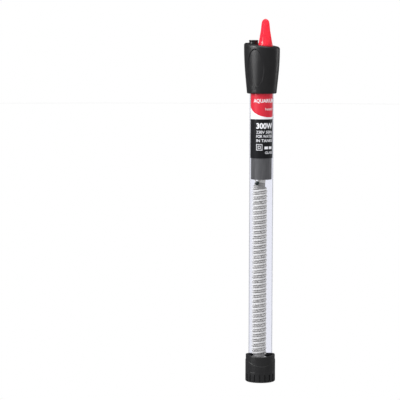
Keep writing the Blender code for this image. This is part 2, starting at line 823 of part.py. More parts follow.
def main():
    make_head_cap()
    make_head_seal_ring()
    make_cord_gland()
    make_tube_stopper()

    knob_axis = make_knob_axis()
    make_adjusting_knob(knob_axis)
    make_knob_spindle(knob_axis)
    make_adjusting_screw(knob_axis)
    make_spindle_o_ring(knob_axis)
    make_adjuster_pusher()

    make_glass_tube()
    make_label_sleeve()
    make_thermostat_carrier()
    make_carrier_end_plug()
    make_heat_shield_disc()

    make_thermostat_frame()
    make_bimetal_bracket()
    make_bimetal_strip()
    make_fixed_contact()
    make_snap_magnet()
    make_pilot_lamp()
    make_lamp_resistor()
    make_suppression_capacitor()

    make_live_lead()
    make_return_lead()
    make_switched_lead()
    make_terminal_bead()

    make_ceramic_former()
    make_heating_coil()
    make_former_end_collar()
    make_bottom_cushion()
    make_base_cap()


main()
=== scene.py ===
"""The looks of a submersible aquarium heater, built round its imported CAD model.

Metres, +Z up. The tube's axis is Z, and X is the long axis of the oval head.
"""

import math

import bmesh
import bpy
from mathutils import Matrix, Vector


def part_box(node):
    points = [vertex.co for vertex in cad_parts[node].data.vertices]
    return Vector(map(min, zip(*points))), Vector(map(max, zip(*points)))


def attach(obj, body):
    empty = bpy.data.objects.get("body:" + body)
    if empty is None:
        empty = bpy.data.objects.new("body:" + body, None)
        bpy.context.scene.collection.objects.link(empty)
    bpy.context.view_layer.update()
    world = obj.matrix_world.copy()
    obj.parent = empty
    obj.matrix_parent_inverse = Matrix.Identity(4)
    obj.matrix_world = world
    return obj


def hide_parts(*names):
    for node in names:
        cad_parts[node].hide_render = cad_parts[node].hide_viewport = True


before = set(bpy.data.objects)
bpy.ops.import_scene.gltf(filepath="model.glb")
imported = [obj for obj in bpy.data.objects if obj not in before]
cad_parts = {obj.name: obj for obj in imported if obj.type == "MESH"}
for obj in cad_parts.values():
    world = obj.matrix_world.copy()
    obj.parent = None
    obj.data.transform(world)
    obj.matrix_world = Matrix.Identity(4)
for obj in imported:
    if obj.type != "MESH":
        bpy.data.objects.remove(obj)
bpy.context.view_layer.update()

MM = 0.001
FULL_TURN = 2 * math.pi

# Where the CAD model says things are
HEAD_LOW, HEAD_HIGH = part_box("head_cap")
KNOB_LOW, KNOB_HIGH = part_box("adjusting_knob")
GLAND_LOW, GLAND_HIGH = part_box("cord_gland")
GLASS_LOW, GLASS_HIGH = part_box("glass_tube")
LABEL_LOW, LABEL_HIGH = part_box("label_sleeve")
CARRIER_LOW, CARRIER_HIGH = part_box("thermostat_carrier")
CORE_LOW, CORE_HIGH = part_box("ceramic_former")
COLLAR_LOW, COLLAR_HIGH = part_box("former_end_collar")
BEAD_LOW, BEAD_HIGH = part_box("terminal_bead")
BASE_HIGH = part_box("base_cap")[1]

# The head's shape, as the CAD model has it
HEAD_SLOPE = 0.125              # fall of the top for each metre along +X
HEAD_HALF_X = HEAD_HIGH.x
HEAD_HALF_Y = HEAD_HIGH.y
HEAD_ROUND_R = 13.35 * MM       # radius of the round lower end
HEAD_TOP = 306.3 * MM           # height of the sloping top at the tube's axis
HEAD_EDGE = 0.8 * MM
HEAD_SHOULDER = 2.0 * MM
HEAD_FLARE = 40.0 * MM
HEAD_POWER = 2.2
RECESS_HALF_X = 8.5 * MM
RECESS_HALF_Z = 18.0 * MM
RECESS_Z = 285.0 * MM
RECESS_DEPTH = 0.8 * MM
RECESS_BEVEL = 1.0 * MM
SOCKET_GAP = 0.35 * MM          # clearance round the glass, in the head and in the base cap
SEAL_SEAT = 4.8 * MM            # depth of the wider mouth for the seal ring
BORE_TOP = 293.0 * MM
CHAMBER_HALF_X = 12.5 * MM
CHAMBER_HALF_Y = 10.5 * MM
CHAMBER_TOP = 298.0 * MM
SPINDLE_HOLE_R = 1.85 * MM
O_RING_SEAT_R = 3.3 * MM
O_RING_SEAT = 2.5 * MM          # height of the O-ring's seat over the chamber
KNOB_SEAT = 303.5 * MM
KNOB_GAP = 0.35 * MM
GLAND_GAP = 0.3 * MM
HOLE_CHAMFER = 0.25 * MM
OVERCUT = 3.0 * MM              # how far a cutter passes the surface that it cuts

# The knob, the gland and the sleeves
KNOB_BORE_R = 1.8 * MM
KNOB_WELL_TOP = 312.0 * MM
GLAND_BORE_R = 3.1 * MM
GLAND_GROOVE = 1.7 * MM         # depth of the groove's middle below the gland's top
GLASS_WALL = 0.75 * MM
GLASS_SHOULDER = 12.0 * MM      # height where the round end meets the straight tube
FILM_THICK = 0.25 * MM
CARRIER_WALL = 0.8 * MM

# The heating element
CORE_X = (CORE_LOW.x + CORE_HIGH.x) / 2
CORE_Y = (CORE_LOW.y + CORE_HIGH.y) / 2
CORE_R = (CORE_HIGH.x - CORE_LOW.x) / 2
COIL_TURNS = 34
COIL_START = 25.5 * MM
COIL_END = 178.0 * MM
COIL_PITCH = (COIL_END - COIL_START) / COIL_TURNS
COIL_SHORT = 0.24               # share of the last turn that the coil leaves out
COIL_R = 5.95 * MM
WOUND_R = 0.80 * MM             # radius of the fine spiral that the wire is wound into
WOUND_PER_TURN = 46
WIRE_R = 0.16 * MM
RIB_R = 6.35 * MM
RIB_WIDTH = 0.42                # share of the pitch that the rib takes
RIB_FADE_IN = 0.05              # how far inside and outside that share its sides reach
RIB_FADE_OUT = 0.07
GROOVE_SHADE_DEPTH = 0.35 * MM         # the rib keeps its own colour down to this depth, and below it the groove gets painted shade
FORMER_BORE_R = 1.2 * MM

# The base cap
LEDGE = 17.7 * MM
LEDGE_WAVE = 2.6 * MM
RIM = 24.2 * MM
RIM_WAVE = 0.7 * MM
BASE_EDGE = 0.7 * MM
BASE_STEP = 0.3 * MM            # how far the wall below the ledge stands out past the rim
LEDGE_DIP_BEARING = 33.0        # degrees from -Y towards +X to the middle of one dip
SLOT_BEARING = 16.0             # degrees from +X to the middle of the first slot
SLOT_COUNT = 18
SLOT_WIDTH = 1.4 * MM
SLOT_HIGH = 6.7 * MM            # height of the middle of the slot's round top
SLOT_DEPTH = 0.9 * MM
PARTING_LINE = 9.6 * MM

# The print on the label, which faces VIEW_AZIMUTH + PRINT_TURN
VIEW_AZIMUTH = 28.0
PRINT_TURN = 16.0
PANEL_TOP = 239.6 * MM
ARC_LOW = 241.3 * MM
ARC_R = 29.5 * MM
ARC_TURN = 46.0
COLUMN_LEFT = -7.6              # millimetres from the middle of the print
COLUMN_WIDTH = 16.6
PRINT_LIFT = 0.03 * MM

# Colours that more than one piece uses
CERAMIC_LIGHT = (0.68, 0.675, 0.66)
CERAMIC_DARK = (0.58, 0.575, 0.56)


# ---------------------------------------------------------------- camera, stage and lights

def aim(item, azimuth, height, distance, target_height):
    """Stand an item on a compass bearing round the tube and point it at the tube's axis."""
    angle = math.radians(azimuth)
    item.location = (distance * math.sin(angle), -distance * math.cos(angle), height)
    sight = Vector((0.0, 0.0, target_height)) - item.location
    item.rotation_euler = sight.to_track_quat("-Z", "Y").to_euler()


def make_camera():
    """A long lens, level with the knob's tip, turned a little to the left of the heater."""
    distance = 1.806
    height = 0.330
    pitch = 5.20
    yaw = 1.76
    roll = 0.16
    data = bpy.data.cameras.new("camera")
    data.sensor_width = 36.0
    data.lens = 179.8
    camera = bpy.data.objects.new("camera", data)
    bpy.context.scene.collection.objects.link(camera)
    angle = math.radians(VIEW_AZIMUTH)
    place = Matrix.Translation((distance * math.sin(angle), -distance * math.cos(angle), height))
    heading = Matrix.Rotation(angle + math.radians(yaw), 4, "Z")
    tilt = Matrix.Rotation(math.radians(90.0 - pitch), 4, "X")
    lean = Matrix.Rotation(math.radians(roll), 4, "Z")
    camera.matrix_world = place @ heading @ tilt @ lean
    bpy.context.scene.camera = camera


def stage_surface(name, builder):
    """A surface that glows plain white. It is seen directly and through glass, not reflected."""
    mesh = bpy.data.meshes.new(name)
    builder.to_mesh(mesh)
    builder.free()
    surface_item = bpy.data.objects.new(name, mesh)
    bpy.context.scene.collection.objects.link(surface_item)
    material = bpy.data.materials.new(name)
    material.use_nodes = True
    shader = material.node_tree.nodes["Principled BSDF"]
    shader.inputs["Base Color"].default_value = (0.0, 0.0, 0.0, 1.0)
    shader.inputs["Roughness"].default_value = 1.0
    shader.inputs["Specular IOR Level"].default_value = 0.0
    shader.inputs["Emission Color"].default_value = (1.0, 1.0, 1.0, 1.0)
    shader.inputs["Emission Strength"].default_value = 1.0
    mesh.materials.append(material)
    surface_item.visible_glossy = False


def make_stage():
    """A plain white floor with a round white wall far behind it."""
    radius = 6.0
    floor = bmesh.new()
    bmesh.ops.create_circle(floor, cap_ends=True, segments=64, radius=radius)
    bmesh.ops.translate(floor, vec=(0.0, 0.0, -0.0002), verts=floor.verts)
    stage_surface("floor", floor)
    wall = bmesh.new()
    bmesh.ops.create_cone(wall, cap_ends=False, segments=64, radius1=radius, radius2=radius, depth=9.0)
    bmesh.ops.translate(wall, vec=(0.0, 0.0, 4.5), verts=wall.verts)
    stage_surface("backdrop", wall)


def softbox(name, azimuth, height, distance, target_height, width, tall, power):
    data = bpy.data.lights.new(name, "AREA")
    data.shape = "RECTANGLE"
    data.size = width
    data.size_y = tall
    data.energy = power
    light = bpy.data.objects.new(name, data)
    aim(light, azimuth, height, distance, target_height)
    bpy.context.scene.collection.objects.link(light)


def make_lights():
    """A tall softbox to the left, a narrow one behind to the right and a broad one overhead."""
    softbox("key", VIEW_AZIMUTH - 62, 0.80, 1.3, 0.25, 0.36, 1.1, 15.0)
    softbox("rim", VIEW_AZIMUTH + 118, 0.50, 1.4, 0.2, 0.25, 1.0, 2.0)
    softbox("overhead", VIEW_AZIMUTH - 30, 1.50, 0.25, 0.2, 1.1, 1.1, 8.0)
    world = bpy.data.worlds.new("studio")
    world.use_nodes = True
    background = world.node_tree.nodes["Background"]
    background.inputs["Color"].default_value = (1.0, 1.0, 1.0, 1.0)
    background.inputs["Strength"].default_value = 0.12
    bpy.context.scene.world = world
    bpy.context.scene.view_settings.view_transform = "Standard"


# ---------------------------------------------------------------- material helpers

def surface(name, colour, roughness, **constants):
    """A Principled material with plain values. Extra values go on the shader's own sockets."""
    material = bpy.data.materials.new(name)
    material.use_nodes = True
    shader = material.node_tree.nodes["Principled BSDF"]
    shader.inputs["Base Color"].default_value = (*colour, 1.0)
    shader.inputs["Roughness"].default_value = roughness
    for label, value in constants.items():
        shader.inputs[label.replace("_", " ")].default_value = value
    return material


def noise(material, size, detail=4.0, stretch=(1.0, 1.0, 1.0)):
    """Fractal noise whose features are about size across, in the piece's own coordinates."""
    nodes = material.node_tree.nodes
    links = material.node_tree.links
    place = nodes.new("ShaderNodeTexCoord")
    mapping = nodes.new("ShaderNodeMapping")
    mapping.inputs["Scale"].default_value = stretch
    texture = nodes.new("ShaderNodeTexNoise")
    texture.inputs["Scale"].default_value = 1.0 / size
    texture.inputs["Detail"].default_value = detail
    links.new(place.outputs["Object"], mapping.inputs["Vector"])
    links.new(mapping.outputs["Vector"], texture.inputs["Vector"])
    return texture.outputs["Fac"]


def spread(material, source, low, high):
    """Turn noise into a value between low and high."""
    ranger = material.node_tree.nodes.new("ShaderNodeMapRange")
    ranger.inputs["From Min"].default_value = 0.3
    ranger.inputs["From Max"].default_value = 0.7
    ranger.inputs["To Min"].default_value = low
    ranger.inputs["To Max"].default_value = high
    material.node_tree.links.new(source, ranger.inputs["Value"])
    return ranger.outputs["Result"]


def mixed(material, factor, first, second):
    """Mix two colours. Each is a colour value or another node's output."""
    mix = material.node_tree.nodes.new("ShaderNodeMix")
    mix.data_type = "RGBA"
    sockets = [item for item in mix.inputs if item.type == "RGBA"]
    for socket, colour in zip(sockets, (first, second)):
        if isinstance(colour, tuple):
            socket.default_value = (*colour, 1.0)
        else:
            material.node_tree.links.new(colour, socket)
    material.node_tree.links.new(factor, mix.inputs["Factor"])
    return [item for item in mix.outputs if item.type == "RGBA"][0]


def feed(material, label, source):
    material.node_tree.links.new(source, material.node_tree.nodes["Principled BSDF"].inputs[label])


def shade(material, source, dark, light):
    """Vary the colour between two values, as the source does."""
    feed(material, "Base Color", mixed(material, source, dark, light))


def gloss(material, source, smooth, rough):
    """Vary the roughness between two values, as the noise does."""
    feed(material, "Roughness", spread(material, source, smooth, rough))


def bump(material, source, height, strength=1.0):
    """Raise the surface by height where the source is 1."""
    relief = material.node_tree.nodes.new("ShaderNodeBump")
    relief.inputs["Distance"].default_value = height
    relief.inputs["Strength"].default_value = strength
    material.node_tree.links.new(source, relief.inputs["Height"])
    feed(material, "Normal", relief.outputs["Normal"])


def maths(material, operation, first, second=0.0, clamp=False):
    """One Math node. Each input is a number or another node's output."""
    step = material.node_tree.nodes.new("ShaderNodeMath")
    step.operation = operation
    step.use_clamp = clamp
    for socket, value in zip(step.inputs, (first, second)):
        if isinstance(value, (int, float)):
            socket.default_value = value
        else:
            material.node_tree.links.new(value, socket)
    return step.outputs[0]


# ---------------------------------------------------------------- materials

def moulded_plastic(name, dark, light, smooth, rough, grain=0.35 * MM):
    """Moulded plastic: a fine spark-eroded grain, with slow changes of shade and gloss."""
    material = surface(name, dark, rough, IOR=1.5)
    shade(material, noise(material, 6 * MM), dark, light)
    gloss(material, noise(material, 2.5 * MM), smooth, rough)
    bump(material, noise(material, grain, 2.0), 0.02 * MM, 0.5)
    return material


def head_plastic():
    return moulded_plastic("head_plastic", (0.009, 0.009, 0.010), (0.014, 0.014, 0.015), 0.30, 0.40)


def base_plastic():
    return moulded_plastic("base_plastic", (0.012, 0.012, 0.013), (0.018, 0.018, 0.019), 0.32, 0.44)


def gland_rubber():
    return moulded_plastic("gland_rubber", (0.010, 0.010, 0.010), (0.016, 0.016, 0.016), 0.18, 0.30)


def knob_plastic():
    """Red plastic that lets a little light in."""
    material = surface("knob_plastic", (0.80, 0.012, 0.03), 0.3, IOR=1.5, Coat_Weight=0.3)
    shader = material.node_tree.nodes["Principled BSDF"]
    shader.inputs["Subsurface Weight"].default_value = 0.25
    shader.inputs["Subsurface Radius"].default_value = (1.0, 0.12, 0.10)
    shader.inputs["Subsurface Scale"].default_value = 1.2 * MM
    shader.inputs["Coat Roughness"].default_value = 0.12
    shade(material, noise(material, 5 * MM), (0.80, 0.012, 0.035), (0.88, 0.02, 0.045))
    gloss(material, noise(material, 2 * MM), 0.24, 0.36)
    bump(material, noise(material, 0.5 * MM, 2.0), 0.015 * MM, 0.4)
    return material


def clear_glass():
    """Drawn glass, with faint lengthwise waves."""
    material = surface("clear_glass", (0.93, 0.92, 0.97), 0.0, Transmission_Weight=1.0, IOR=1.02)
    waves = noise(material, 6 * MM, 1.0, (1.0, 1.0, 0.03))
    shade(material, waves, (0.885, 0.895, 0.945), (0.91, 0.915, 0.965))
    bump(material, waves, 0.01 * MM, 0.1)
    return material


def height_and_arc(material, turn):
    """The height on the label, and the distance round it from a bearing."""
    nodes = material.node_tree.nodes
    place = nodes.new("ShaderNodeTexCoord")
    split = nodes.new("ShaderNodeSeparateXYZ")
    material.node_tree.links.new(place.outputs["Object"], split.inputs["Vector"])
    back = maths(material, "MULTIPLY", split.outputs["Y"], -1.0)
    bearing = maths(material, "ARCTAN2", split.outputs["X"], back)
    angle = maths(material, "SUBTRACT", bearing, math.radians(VIEW_AZIMUTH + turn))
    wrapped = maths(material, "WRAP", angle, math.pi)
    wrapped.node.inputs[2].default_value = -math.pi
    return split.outputs["Z"], maths(material, "MULTIPLY", wrapped, LABEL_HIGH.x)


def printed_film():
    """A printed label: a red field with a round lower edge, a white band and a black panel."""
    material = surface("printed_film", (0.6, 0.02, 0.03), 0.35, Specular_IOR_Level=0.3)
    height, along = height_and_arc(material, ARC_TURN)
    square = maths(material, "MULTIPLY", along, along)
    rest = maths(material, "MAXIMUM", maths(material, "SUBTRACT", ARC_R ** 2, square), 0.0)
    sag = maths(material, "SUBTRACT", ARC_R, maths(material, "SQRT", rest))
    edge = maths(material, "ADD", sag, ARC_LOW)
    red_area = maths(material, "GREATER_THAN", height, edge)
    black_area = maths(material, "LESS_THAN", height, PANEL_TOP)
    cloud = noise(material, 4 * MM)
    red = mixed(material, cloud, (0.60, 0.018, 0.035), (0.66, 0.025, 0.045))
    white = mixed(material, cloud, (0.80, 0.80, 0.80), (0.86, 0.86, 0.86))
    black = mixed(material, cloud, (0.008, 0.008, 0.009), (0.013, 0.013, 0.014))
    field = mixed(material, red_area, white, red)
    shade(material, black_area, field, black)
    gloss(material, noise(material, 1.5 * MM), 0.30, 0.42)
    bump(material, noise(material, 3 * MM), 0.02 * MM, 0.3)
    return material


def white_ink():
    material = surface("white_ink", (0.85, 0.85, 0.85), 0.5)
    shade(material, noise(material, 0.6 * MM), (0.78, 0.78, 0.78), (0.88, 0.88, 0.88))
    return material


def carrier_plastic():
    """Grey tube with lengthwise draw marks."""
    material = surface("carrier_plastic", (0.08, 0.08, 0.08), 0.4, Specular_IOR_Level=0.9)
    streaks = noise(material, 1.2 * MM, 4.0, (1.0, 1.0, 0.12))
    shade(material, streaks, (0.05, 0.05, 0.052), (0.11, 0.11, 0.11))
    gloss(material, streaks, 0.30, 0.46)
    bump(material, streaks, 0.03 * MM, 0.4)
    return material


def fired_ceramic(name, light=CERAMIC_LIGHT, dark=CERAMIC_DARK):
    """Unglazed white ceramic: a sandy surface with faint warm stains."""
    material = surface(name, light, 0.7)
    shade(material, noise(material, 3 * MM), dark, light)
    gloss(material, noise(material, 1 * MM), 0.6, 0.8)
    bump(material, noise(material, 0.3 * MM), 0.03 * MM, 0.6)
    return material


def ceramic_with_painted_groove_shade():
    """Ceramic whose grooves are painted darker: painted shade for the shadow that the rib casts into
    the groove.
    """
    material = fired_ceramic("ceramic_with_painted_groove_shade")
    nodes = material.node_tree.nodes
    links = material.node_tree.links
    unshaded_colour = nodes["Principled BSDF"].inputs["Base Color"].links[0].from_socket
    place = nodes.new("ShaderNodeTexCoord")
    from_axis = nodes.new("ShaderNodeVectorMath")
    from_axis.operation = "SUBTRACT"
    from_axis.inputs[1].default_value = (CORE_X, CORE_Y, 0.0)
    links.new(place.outputs["Object"], from_axis.inputs[0])
    split = nodes.new("ShaderNodeSeparateXYZ")
    links.new(from_axis.outputs["Vector"], split.inputs["Vector"])
    parts = [split.outputs[axis] for axis in "XY"]
    squares = [maths(material, "MULTIPLY", part, part) for part in parts]
    radius = maths(material, "SQRT", maths(material, "ADD", *squares))
    # Painted shade: below the rib's top the ceramic is darkened, standing in for the shadow under the
    # rib.
    groove = maths(material, "LESS_THAN", radius, RIB_R - GROOVE_SHADE_DEPTH)
    shade(material, groove, unshaded_colour, (0.27, 0.265, 0.26))
    return material


def resistance_wire():
    """Oxidised nickel-chrome wire."""
    material = surface("resistance_wire", (0.62, 0.60, 0.57), 0.45, Metallic=0.1)
    shade(material, noise(material, 2 * MM), (0.74, 0.73, 0.71), (0.88, 0.87, 0.85))
    gloss(material, noise(material, 0.8 * MM), 0.35, 0.55)
    return material


def metal(name, dark, light, smooth, rough):
    """Drawn or rolled metal with fine lengthwise lines."""
    material = surface(name, dark, rough, Metallic=1.0)
    lines = noise(material, 0.4 * MM, 3.0, (1.0, 1.0, 0.1))
    shade(material, lines, dark, light)
    gloss(material, lines, smooth, rough)
    bump(material, lines, 0.01 * MM, 0.4)
    return material


def brass():
    return metal("brass", (0.62, 0.44, 0.18), (0.74, 0.55, 0.26), 0.28, 0.42)


def plated_steel():
    return metal("plated_steel", (0.50, 0.50, 0.52), (0.62, 0.62, 0.64), 0.22, 0.36)


def contact_silver():
    return metal("contact_silver", (0.70, 0.70, 0.69), (0.80, 0.80, 0.79), 0.18, 0.30)


def magnet_grey():
    return metal("magnet_grey", (0.09, 0.09, 0.10), (0.15, 0.15, 0.16), 0.40, 0.55)


def soft_rubber():
    return moulded_plastic("soft_rubber", (0.018, 0.018, 0.018), (0.028, 0.028, 0.028), 0.60, 0.80)


def plug_ceramic():
    return fired_ceramic("plug_ceramic", (0.58, 0.575, 0.56), (0.48, 0.475, 0.46))


def phenolic_board():
    """Brown laminate with a fibrous look."""
    material = surface("phenolic_board", (0.40, 0.28, 0.16), 0.5)
    fibres = noise(material, 0.8 * MM, 5.0, (1.0, 1.0, 0.2))
    shade(material, fibres, (0.33, 0.22, 0.12), (0.46, 0.33, 0.20))
    gloss(material, fibres, 0.45, 0.62)
    bump(material, fibres, 0.02 * MM, 0.4)
    return material


def glass_fibre_sleeving():
    """Braided sleeving on the leads."""
    material = surface("glass_fibre_sleeving", (0.60, 0.58, 0.52), 0.8)
    wave = material.node_tree.nodes.new("ShaderNodeTexWave")
    wave.inputs["Scale"].default_value = 1.0 / (0.9 * MM)
    wave.inputs["Distortion"].default_value = 1.0
    wave.bands_direction = "DIAGONAL"
    place = material.node_tree.nodes.new("ShaderNodeTexCoord")
    material.node_tree.links.new(place.outputs["Object"], wave.inputs["Vector"])
    shade(material, wave.outputs["Fac"], (0.50, 0.48, 0.43), (0.70, 0.68, 0.62))
    bump(material, wave.outputs["Fac"], 0.05 * MM, 0.6)
    return material


def dark_glaze():
    material = surface("dark_glaze", (0.012, 0.018, 0.018), 0.25, IOR=1.5)
    shade(material, noise(material, 1 * MM), (0.008, 0.012, 0.012), (0.025, 0.035, 0.032))
    gloss(material, noise(material, 0.8 * MM), 0.18, 0.38)
    return material


def neon_glass():
    material = surface("neon_glass", (0.80, 0.36, 0.16), 0.08, IOR=1.47, Transmission_Weight=0.6)
    shade(material, noise(material, 2 * MM), (0.72, 0.30, 0.12), (0.86, 0.44, 0.22))
    return material


def blue_lacquer():
    material = surface("blue_lacquer", (0.07, 0.18, 0.40), 0.3, Coat_Weight=0.4)
    shade(material, noise(material, 1.5 * MM), (0.05, 0.15, 0.36), (0.10, 0.23, 0.46))
    gloss(material, noise(material, 1 * MM), 0.25, 0.4)
    return material


def mineral_wool():
    material = surface("mineral_wool", (0.68, 0.66, 0.58), 0.95)
    fibres = noise(material, 0.5 * MM, 8.0, (1.0, 1.0, 0.4))
    shade(material, fibres, (0.52, 0.50, 0.43), (0.76, 0.74, 0.66))
    bump(material, fibres, 0.2 * MM, 0.8)
    return material


# ---------------------------------------------------------------- shapes

def finish_mesh(builder, name, sharp_angle=38.0):
    mesh = bpy.data.meshes.new(name)
    builder.to_mesh(mesh)
    builder.free()
    mesh.shade_smooth()
    mesh.set_sharp_from_angle(angle=math.radians(sharp_angle))
    return mesh


def link(name, mesh, material=None):
    item = bpy.data.objects.new(name, mesh)
    bpy.context.scene.collection.objects.link(item)
    if material is not None:
        mesh.materials.append(material)
    return item


def add_piece(item, body, node):
    """Put a finished piece on a CAD body in place of a CAD node."""
    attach(item, body)
    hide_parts(node)


def skin(name, rings, closed=False, sharp_angle=38.0):
    """Join rings of points with faces. The rings go round anticlockwise and climb the outside.

    A closed skin joins its last ring to its first, and an open one is capped at both ends.
    """
    builder = bmesh.new()
    loops = [[builder.verts.new(point) for point in ring] for ring in rings]
    count = len(loops[0])
    pairs = list(zip(loops, loops[1:]))
    if closed:
        pairs.append((loops[-1], loops[0]))
    for lower, upper in pairs:
        for i in range(count):
            j = (i + 1) % count
            builder.faces.new((lower[i], lower[j], upper[j], upper[i]))
    if not closed:
        builder.faces.new(list(reversed(loops[0])))
        builder.faces.new(loops[-1])
    return finish_mesh(builder, name, sharp_angle)


def oval(half_x, half_y, height, slope=0.0, count=192, power=2.0, centre=(0.0, 0.0)):
    """A ring on a superellipse, whose height falls by slope along +X."""
    ring = []
    for i in range(count):
        angle = FULL_TURN * i / count
        c = math.cos(angle)
        s = math.sin(angle)
        x = half_x * math.copysign(abs(c) ** (2 / power), c)
        y = half_y * math.copysign(abs(s) ** (2 / power), s)
        ring.append((centre[0] + x, centre[1] + y, height - slope * x))
    return ring


def rounded(profile, steps=4):
    """Round the corners of a profile of (radius, height, fillet, share)."""
    made = []
    count = len(profile)
    for i, (r, z, fillet, share) in enumerate(profile):
        corner = Vector((r, z))
        before = Vector(profile[i - 1][:2]) - corner
        after = Vector(profile[(i + 1) % count][:2]) - corner
        reach = min(fillet, 0.45 * before.length, 0.45 * after.length)
        if reach <= 0.0:
            made.append((r, z, share))
            continue
        start = corner + before.normalized() * reach
        end = corner + after.normalized() * reach
        for step in range(steps + 1):
            t = step / steps
            point = start * (1 - t) ** 2 + corner * 2 * t * (1 - t) + end * t ** 2
            made.append((point.x, point.y, share))
    return made


def turned(name, profile, centre=(0.0, 0.0), count=128, sharp_angle=38.0, lift=None):
    """Turn a closed profile of (radius, height, fillet, share) about a vertical axis.

    The profile climbs its outer side. A radius of 0 is kept just off the axis and its tiny
    hole is then closed. A corner moves up or down by its share of the lift at each place.
    """
    least = 0.001 * MM
    rings = []
    for r, z, share in rounded(profile):
        ring = oval(max(r, least), max(r, least), z, 0.0, count, centre=centre)
        if share:
            ring = [(x, y, height + share * lift(x, y)) for x, y, height in ring]
        rings.append(ring)
    mesh = skin(name, rings, True, sharp_angle)
    builder = bmesh.new()
    builder.from_mesh(mesh)
    bmesh.ops.remove_doubles(builder, verts=builder.verts, dist=3 * least)
    bmesh.ops.dissolve_degenerate(builder, edges=builder.edges, dist=least)
    builder.to_mesh(mesh)
    builder.free()
    return mesh


def cut(target, cutter_mesh):
    """Subtract a cutter from a piece, and remove the cutter."""
    cutter = link("cutter", cutter_mesh)
    boolean = target.modifiers.new("cut", "BOOLEAN")
    boolean.operation = "DIFFERENCE"
    boolean.solver = "EXACT"
    boolean.object = cutter
    apply_modifiers(target)
    bpy.data.objects.remove(cutter)


def apply_modifiers(item):
    """Keep a piece's mesh as its modifiers leave it."""
    graph = bpy.context.evaluated_depsgraph_get()
    mesh = bpy.data.meshes.new_from_object(item.evaluated_get(graph))
    item.modifiers.clear()
    item.data = mesh


def resharpen(item, angle=38.0):
    item.data.shade_smooth()
    item.data.set_sharp_from_angle(angle=math.radians(angle))


def smoothstep(low, high, value):
    t = min(max((value - low) / (high - low), 0.0), 1.0)
    return t * t * (3 - 2 * t)


# ---------------------------------------------------------------- head

def head_half_sizes(rise):
    share = math.sin(math.pi / 2 * min(rise / HEAD_FLARE, 1.0))
    half_x = HEAD_ROUND_R + (HEAD_HALF_X - HEAD_ROUND_R) * share
    half_y = HEAD_ROUND_R + (HEAD_HALF_Y - HEAD_ROUND_R) * share
    return half_x, half_y


def head_power(rise):
    return 2.0 + (HEAD_POWER - 2.0) * smoothstep(0.0, HEAD_FLARE, rise)


def head_rings():
    """Rings up the outside of the head: a rounded foot, a flaring wall and a sloping shoulder."""
    arc_steps = 6
    wall_steps = 60
    low = HEAD_LOW.z
    full = HEAD_TOP - low
    rings = []
    for i in range(arc_steps):
        turn = (math.pi / 2) * i / arc_steps
        half = HEAD_ROUND_R - HEAD_EDGE * (1 - math.sin(turn))
        rings.append(oval(half, half, low + HEAD_EDGE * (1 - math.cos(turn))))
    wall_top = full - HEAD_SHOULDER
    for i in range(wall_steps + 1):
        rise = HEAD_EDGE + (wall_top - HEAD_EDGE) * i / wall_steps
        slope = HEAD_SLOPE * smoothstep(0.0, wall_top, rise)
        half_x, half_y = head_half_sizes(rise)
        rings.append(oval(half_x, half_y, low + rise, slope, power=head_power(rise)))
    for i in range(1, arc_steps + 1):
        turn = (math.pi / 2) * i / arc_steps
        back = HEAD_SHOULDER * (1 - math.cos(turn))
        rise = wall_top + HEAD_SHOULDER * math.sin(turn)
        half_x = HEAD_HALF_X - back
        rings.append(oval(half_x, HEAD_HALF_Y - back, low + rise, HEAD_SLOPE, power=HEAD_POWER))
    return rings


def head_surface(x, z):
    """How far the head's broad side stands from the XZ plane."""
    rise = z - HEAD_LOW.z
    power = head_power(rise)
    half_x, half_y = head_half_sizes(rise)
    share = min(abs(x) / half_x, 1.0)
    return half_y * (1 - share ** power) ** (1 / power)


def recess_ring(half_x, half_z, side, depth, count=144):
    ring = []
    for i in range(count):
        angle = FULL_TURN * i / count
        x = half_x * math.cos(angle)
        z = RECESS_Z + half_z * math.sin(angle)
        ring.append((-side * x, side * (head_surface(x, z) - depth), z))
    return ring


def recess_cutter(side):
    """A plug whose inner face follows the head's wall, and whose edge is bevelled."""
    rings = []
    inner_x = RECESS_HALF_X - RECESS_BEVEL
    inner_z = RECESS_HALF_Z - RECESS_BEVEL
    for share in (0.02, 0.15, 0.3, 0.45, 0.6, 0.72, 0.82, 0.9, 0.96, 1.0):
        rings.append(recess_ring(inner_x * share, inner_z * share, side, RECESS_DEPTH))
    for share in (0.35, 1.0, 1.35):
        spread_by = RECESS_BEVEL * share
        depth = RECESS_DEPTH * (1 - share)
        rings.append(recess_ring(inner_x + spread_by, inner_z + spread_by, side, depth))
    far = side * (HEAD_HALF_Y + 2 * MM)
    rings.append([(x, far, z) for x, _, z in rings[-1]])
    return skin("recess", rings)


def tilted_rim(centre_x, radius, chamfer):
    """A ring that takes the corner off a round hole in the sloping top."""
    above = 0.3 * MM
    plane = HEAD_TOP - HEAD_SLOPE * centre_x
    wide = radius + chamfer + above
    narrow = radius - above
    low = plane - chamfer - above
    rings = [
        oval(narrow, narrow, low, HEAD_SLOPE, 96, centre=(centre_x, 0.0)),
        oval(wide, wide, plane + above, HEAD_SLOPE, 96, centre=(centre_x, 0.0)),
    ]
    return skin("rim", rings)


def head_socket():
    """The way in for the glass, with a wider mouth for the seal ring."""
    bore_r = GLASS_HIGH.x + SOCKET_GAP
    seat_r = bore_r + 0.95 * MM
    chamfer = 0.4 * MM
    under = HEAD_LOW.z - OVERCUT
    seat_top = HEAD_LOW.z + SEAL_SEAT
    profile = [
        (0.0, under, 0.0, 0.0),
        (seat_r + chamfer, under, 0.0, 0.0),
        (seat_r + chamfer, HEAD_LOW.z, 0.0, 0.0),
        (seat_r, HEAD_LOW.z + chamfer, 0.0, 0.0),
        (seat_r, seat_top, 0.0, 0.0),
        (bore_r, seat_top, 0.0, 0.0),
        (bore_r, BORE_TOP, 0.0, 0.0),
        (0.0, BORE_TOP, 0.0, 0.0),
    ]
    return turned("socket", profile, count=96)


